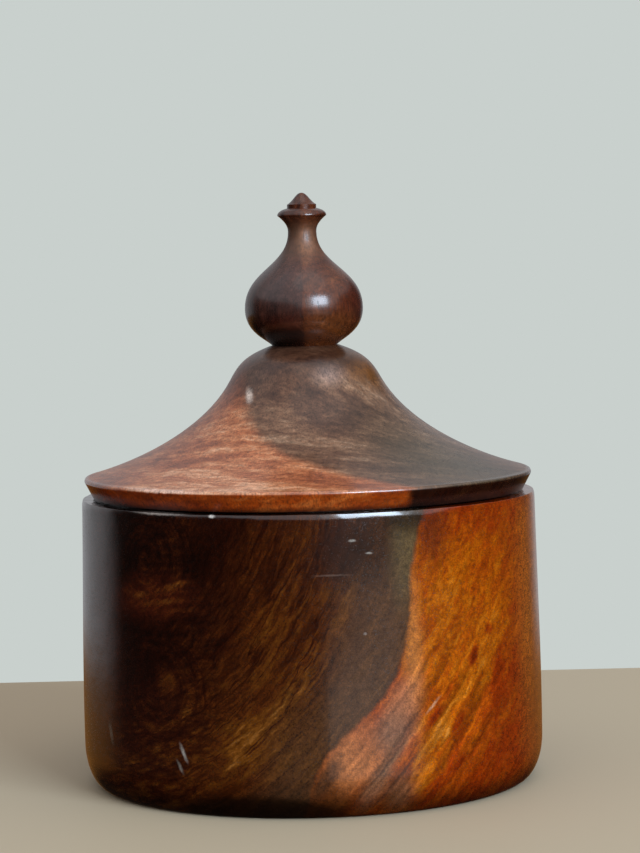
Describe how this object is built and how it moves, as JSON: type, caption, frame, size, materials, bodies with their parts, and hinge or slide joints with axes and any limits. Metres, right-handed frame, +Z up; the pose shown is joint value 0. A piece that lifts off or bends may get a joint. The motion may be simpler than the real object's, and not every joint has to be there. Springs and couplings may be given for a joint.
{
  "type": "turned wooden box with lift-off lid",
  "caption": "Round lathe-turned wooden box with a lift-off ogee lid, a rebated mouth and an onion-shaped finial as its handle.",
  "frame": {"origin": "centre of the standing ring under the box, on the surface it stands on", "axes": "+Z up along the lathe axis from the foot to the tip of the finial; -Y is the front, where the dark wood turns to orange on the viewer's right"},
  "size_m": [0.12, 0.12, 0.1532],
  "materials": {
    "box_wood": "oiled and waxed, dark umber heartwood with an orange sapwood flank",
    "lid_wood": "oiled and waxed, reddish brown with a grey-brown patch",
    "finial_wood": "oiled and waxed, dark red-brown"
  },
  "bodies": {
    "box": {"box_body": "box_wood"},
    "lid": {"lid": "lid_wood", "finial": "finial_wood"}
  },
  "joints": [
    {"name": "lid_lift", "type": "slide", "parent": "box", "child": "lid", "axis": [0, 0, 1], "range_m": [0, 0.09]}
  ]
}
